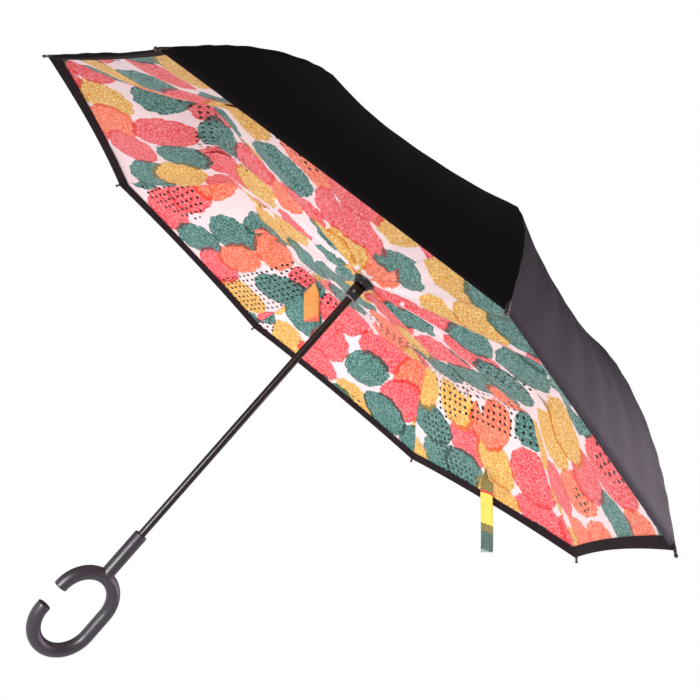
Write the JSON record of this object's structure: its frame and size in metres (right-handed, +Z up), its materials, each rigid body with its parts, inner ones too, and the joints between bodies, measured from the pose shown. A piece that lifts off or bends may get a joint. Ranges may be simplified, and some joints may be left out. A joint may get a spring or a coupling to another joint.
{
  "type": "inverted umbrella",
  "caption": "Open inverted umbrella with a printed lining under a black canopy, a C-shaped grip, and ribs that fold up as the runner is pulled down.",
  "frame": {"origin": "centre of the C-shaped grip, on the shaft's axis, where a hand or a rail holds it", "axes": "+Z up the shaft to the canopy, +X towards rib 1; the grip's plane is turned 67.5 degrees from +X, midway between ribs 2 and 3; the umbrella is open"},
  "size_m": [1.0592, 1.0592, 0.8532],
  "materials": {
    "grip_plastic": "satin charcoal",
    "black_plastic": "soft gloss black",
    "shaft_metal": "black coated steel tube",
    "rib_steel": "black coated steel",
    "rod_fibre": "black glass-fibre rod",
    "wire_steel": "bright wire",
    "outer_cloth": "black woven polyester",
    "hem_cloth": "black hem, woven",
    "lining_cloth": "printed woven polyester, coral, teal and mustard on pale pink",
    "strap_cloth": "printed woven polyester, mustard and teal",
    "tie_tape": "black tape"
  },
  "bodies": {
    "shaft_frame": {"handle": "grip_plastic", "shaft": "shaft_metal", "crown": "black_plastic", "crown_wire": "wire_steel", "top_cap": "black_plastic", "outer_canopy": "outer_cloth"},
    "runner": {"runner_sleeve": "black_plastic", "runner_ring": "black_plastic", "runner_wire": "wire_steel", "lining": "lining_cloth", "hem_band": "hem_cloth"},
    "button": {"runner_button": "black_plastic"},
    "rib_arm_1": {"rib_1": "rib_steel"},
    "rod_arm_1": {"rod_1": "rod_fibre", "tip_1": "black_plastic", "lining_tie_1": "tie_tape"},
    "stretcher_arm_1": {"stretcher_1": "rib_steel"},
    "rib_arm_2": {"rib_2": "rib_steel"},
    "rod_arm_2": {"rod_2": "rod_fibre", "tip_2": "black_plastic", "lining_tie_2": "tie_tape"},
    "stretcher_arm_2": {"stretcher_2": "rib_steel"},
    "rib_arm_3": {"rib_3": "rib_steel"},
    "rod_arm_3": {"rod_3": "rod_fibre", "tip_3": "black_plastic", "lining_tie_3": "tie_tape"},
    "stretcher_arm_3": {"stretcher_3": "rib_steel"},
    "rib_arm_4": {"rib_4": "rib_steel"},
    "rod_arm_4": {"rod_4": "rod_fibre", "tip_4": "black_plastic", "lining_tie_4": "tie_tape"},
    "stretcher_arm_4": {"stretcher_4": "rib_steel"},
    "rib_arm_5": {"rib_5": "rib_steel"},
    "rod_arm_5": {"rod_5": "rod_fibre", "tip_5": "black_plastic", "lining_tie_5": "tie_tape"},
    "stretcher_arm_5": {"stretcher_5": "rib_steel"},
    "rib_arm_6": {"rib_6": "rib_steel"},
    "rod_arm_6": {"rod_6": "rod_fibre", "tip_6": "black_plastic", "lining_tie_6": "tie_tape"},
    "stretcher_arm_6": {"stretcher_6": "rib_steel"},
    "rib_arm_7": {"rib_7": "rib_steel"},
    "rod_arm_7": {"rod_7": "rod_fibre", "tip_7": "black_plastic", "lining_tie_7": "tie_tape"},
    "stretcher_arm_7": {"stretcher_7": "rib_steel"},
    "rib_arm_8": {"rib_8": "rib_steel"},
    "rod_arm_8": {"rod_8": "rod_fibre", "tip_8": "black_plastic", "lining_tie_8": "tie_tape"},
    "stretcher_arm_8": {"stretcher_8": "rib_steel"},
    "rim_strap_body": {"rim_strap": "strap_cloth"},
    "mid_strap_body": {"mid_strap": "strap_cloth"}
  },
  "joints": [
    {"name": "runner_slide", "type": "slide", "parent": "shaft_frame", "child": "runner", "axis": [0, 0, 1], "range_m": [-0.4276, 0], "deforming": ["outer_canopy", "lining", "hem_band", "rim_strap"]},
    {"name": "button_press", "type": "slide", "parent": "runner", "child": "button", "axis": [1, 0, 0], "range_m": [0, 0.001], "stiffness_N_per_m": 800},
    {"name": "rib_1_lift", "type": "hinge", "parent": "runner", "child": "rib_arm_1", "pos_m": [0.0125, 0, 0.6111], "axis": [0, -1, 0], "range_deg": [0, 73.5]},
    {"name": "rod_1_straighten", "type": "hinge", "parent": "rib_arm_1", "child": "rod_arm_1", "pos_m": [0.3002, 0, 0.6807], "axis": [0, -1, 0], "range_deg": [0, 43.1]},
    {"name": "stretcher_1_fold", "type": "hinge", "parent": "shaft_frame", "child": "stretcher_arm_1", "pos_m": [0.0125, 0, 0.74278], "axis": [0, 1, 0], "range_deg": [0, 73.5]},
    {"name": "rib_2_lift", "type": "hinge", "parent": "runner", "child": "rib_arm_2", "pos_m": [0.00884, 0.00884, 0.6111], "axis": [0.7071, -0.7071, 0], "range_deg": [0, 73.5]},
    {"name": "rod_2_straighten", "type": "hinge", "parent": "rib_arm_2", "child": "rod_arm_2", "pos_m": [0.21227, 0.21227, 0.6807], "axis": [0.7071, -0.7071, 0], "range_deg": [0, 43.1]},
    {"name": "stretcher_2_fold", "type": "hinge", "parent": "shaft_frame", "child": "stretcher_arm_2", "pos_m": [0.00884, 0.00884, 0.74278], "axis": [-0.7071, 0.7071, 0], "range_deg": [0, 73.5]},
    {"name": "rib_3_lift", "type": "hinge", "parent": "runner", "child": "rib_arm_3", "pos_m": [0, 0.0125, 0.6111], "axis": [1, 0, 0], "range_deg": [0, 73.5]},
    {"name": "rod_3_straighten", "type": "hinge", "parent": "rib_arm_3", "child": "rod_arm_3", "pos_m": [0, 0.3002, 0.6807], "axis": [1, 0, 0], "range_deg": [0, 43.1]},
    {"name": "stretcher_3_fold", "type": "hinge", "parent": "shaft_frame", "child": "stretcher_arm_3", "pos_m": [0, 0.0125, 0.74278], "axis": [-1, 0, 0], "range_deg": [0, 73.5]},
    {"name": "rib_4_lift", "type": "hinge", "parent": "runner", "child": "rib_arm_4", "pos_m": [-0.00884, 0.00884, 0.6111], "axis": [0.7071, 0.7071, 0], "range_deg": [0, 73.5]},
    {"name": "rod_4_straighten", "type": "hinge", "parent": "rib_arm_4", "child": "rod_arm_4", "pos_m": [-0.21227, 0.21227, 0.6807], "axis": [0.7071, 0.7071, 0], "range_deg": [0, 43.1]},
    {"name": "stretcher_4_fold", "type": "hinge", "parent": "shaft_frame", "child": "stretcher_arm_4", "pos_m": [-0.00884, 0.00884, 0.74278], "axis": [-0.7071, -0.7071, 0], "range_deg": [0, 73.5]},
    {"name": "rib_5_lift", "type": "hinge", "parent": "runner", "child": "rib_arm_5", "pos_m": [-0.0125, 0, 0.6111], "axis": [0, 1, 0], "range_deg": [0, 73.5]},
    {"name": "rod_5_straighten", "type": "hinge", "parent": "rib_arm_5", "child": "rod_arm_5", "pos_m": [-0.3002, 0, 0.6807], "axis": [0, 1, 0], "range_deg": [0, 43.1]},
    {"name": "stretcher_5_fold", "type": "hinge", "parent": "shaft_frame", "child": "stretcher_arm_5", "pos_m": [-0.0125, 0, 0.74278], "axis": [0, -1, 0], "range_deg": [0, 73.5]},
    {"name": "rib_6_lift", "type": "hinge", "parent": "runner", "child": "rib_arm_6", "pos_m": [-0.00884, -0.00884, 0.6111], "axis": [-0.7071, 0.7071, 0], "range_deg": [0, 73.5]},
    {"name": "rod_6_straighten", "type": "hinge", "parent": "rib_arm_6", "child": "rod_arm_6", "pos_m": [-0.21227, -0.21227, 0.6807], "axis": [-0.7071, 0.7071, 0], "range_deg": [0, 43.1]},
    {"name": "stretcher_6_fold", "type": "hinge", "parent": "shaft_frame", "child": "stretcher_arm_6", "pos_m": [-0.00884, -0.00884, 0.74278], "axis": [0.7071, -0.7071, 0], "range_deg": [0, 73.5]},
    {"name": "rib_7_lift", "type": "hinge", "parent": "runner", "child": "rib_arm_7", "pos_m": [0, -0.0125, 0.6111], "axis": [-1, 0, 0], "range_deg": [0, 73.5]},
    {"name": "rod_7_straighten", "type": "hinge", "parent": "rib_arm_7", "child": "rod_arm_7", "pos_m": [0, -0.3002, 0.6807], "axis": [-1, 0, 0], "range_deg": [0, 43.1]},
    {"name": "stretcher_7_fold", "type": "hinge", "parent": "shaft_frame", "child": "stretcher_arm_7", "pos_m": [0, -0.0125, 0.74278], "axis": [1, 0, 0], "range_deg": [0, 73.5]},
    {"name": "rib_8_lift", "type": "hinge", "parent": "runner", "child": "rib_arm_8", "pos_m": [0.00884, -0.00884, 0.6111], "axis": [-0.7071, -0.7071, 0], "range_deg": [0, 73.5]},
    {"name": "rod_8_straighten", "type": "hinge", "parent": "rib_arm_8", "child": "rod_arm_8", "pos_m": [0.21227, -0.21227, 0.6807], "axis": [-0.7071, -0.7071, 0], "range_deg": [0, 43.1]},
    {"name": "stretcher_8_fold", "type": "hinge", "parent": "shaft_frame", "child": "stretcher_arm_8", "pos_m": [0.00884, -0.00884, 0.74278], "axis": [0.7071, 0.7071, 0], "range_deg": [0, 73.5]},
    {"name": "rim_strap_swing", "type": "hinge", "parent": "rod_arm_3", "child": "rim_strap_body", "pos_m": [0.17997, 0.37395, 0.55466], "axis": [1, 0, 0], "range_deg": [-60, 15]},
    {"name": "mid_strap_swing", "type": "hinge", "parent": "rod_arm_4", "child": "mid_strap_body", "pos_m": [-0.23547, 0.23547, 0.6237], "axis": [-0.6393, 0.6393, -0.4274], "range_deg": [-5, 60]}
  ],
  "couplings": [
    {"joint": "rib_1_lift", "follows": "runner_slide", "rad_per_m": -2.996},
    {"joint": "rod_1_straighten", "follows": "runner_slide", "rad_per_m": -1.7551},
    {"joint": "stretcher_1_fold", "follows": "runner_slide", "rad_per_m": -2.996},
    {"joint": "rib_2_lift", "follows": "runner_slide", "rad_per_m": -2.996},
    {"joint": "rod_2_straighten", "follows": "runner_slide", "rad_per_m": -1.7551},
    {"joint": "stretcher_2_fold", "follows": "runner_slide", "rad_per_m": -2.996},
    {"joint": "rib_3_lift", "follows": "runner_slide", "rad_per_m": -2.996},
    {"joint": "rod_3_straighten", "follows": "runner_slide", "rad_per_m": -1.7551},
    {"joint": "stretcher_3_fold", "follows": "runner_slide", "rad_per_m": -2.996},
    {"joint": "rib_4_lift", "follows": "runner_slide", "rad_per_m": -2.996},
    {"joint": "rod_4_straighten", "follows": "runner_slide", "rad_per_m": -1.7551},
    {"joint": "stretcher_4_fold", "follows": "runner_slide", "rad_per_m": -2.996},
    {"joint": "rib_5_lift", "follows": "runner_slide", "rad_per_m": -2.996},
    {"joint": "rod_5_straighten", "follows": "runner_slide", "rad_per_m": -1.7551},
    {"joint": "stretcher_5_fold", "follows": "runner_slide", "rad_per_m": -2.996},
    {"joint": "rib_6_lift", "follows": "runner_slide", "rad_per_m": -2.996},
    {"joint": "rod_6_straighten", "follows": "runner_slide", "rad_per_m": -1.7551},
    {"joint": "stretcher_6_fold", "follows": "runner_slide", "rad_per_m": -2.996},
    {"joint": "rib_7_lift", "follows": "runner_slide", "rad_per_m": -2.996},
    {"joint": "rod_7_straighten", "follows": "runner_slide", "rad_per_m": -1.7551},
    {"joint": "stretcher_7_fold", "follows": "runner_slide", "rad_per_m": -2.996},
    {"joint": "rib_8_lift", "follows": "runner_slide", "rad_per_m": -2.996},
    {"joint": "rod_8_straighten", "follows": "runner_slide", "rad_per_m": -1.7551},
    {"joint": "stretcher_8_fold", "follows": "runner_slide", "rad_per_m": -2.996}
  ]
}
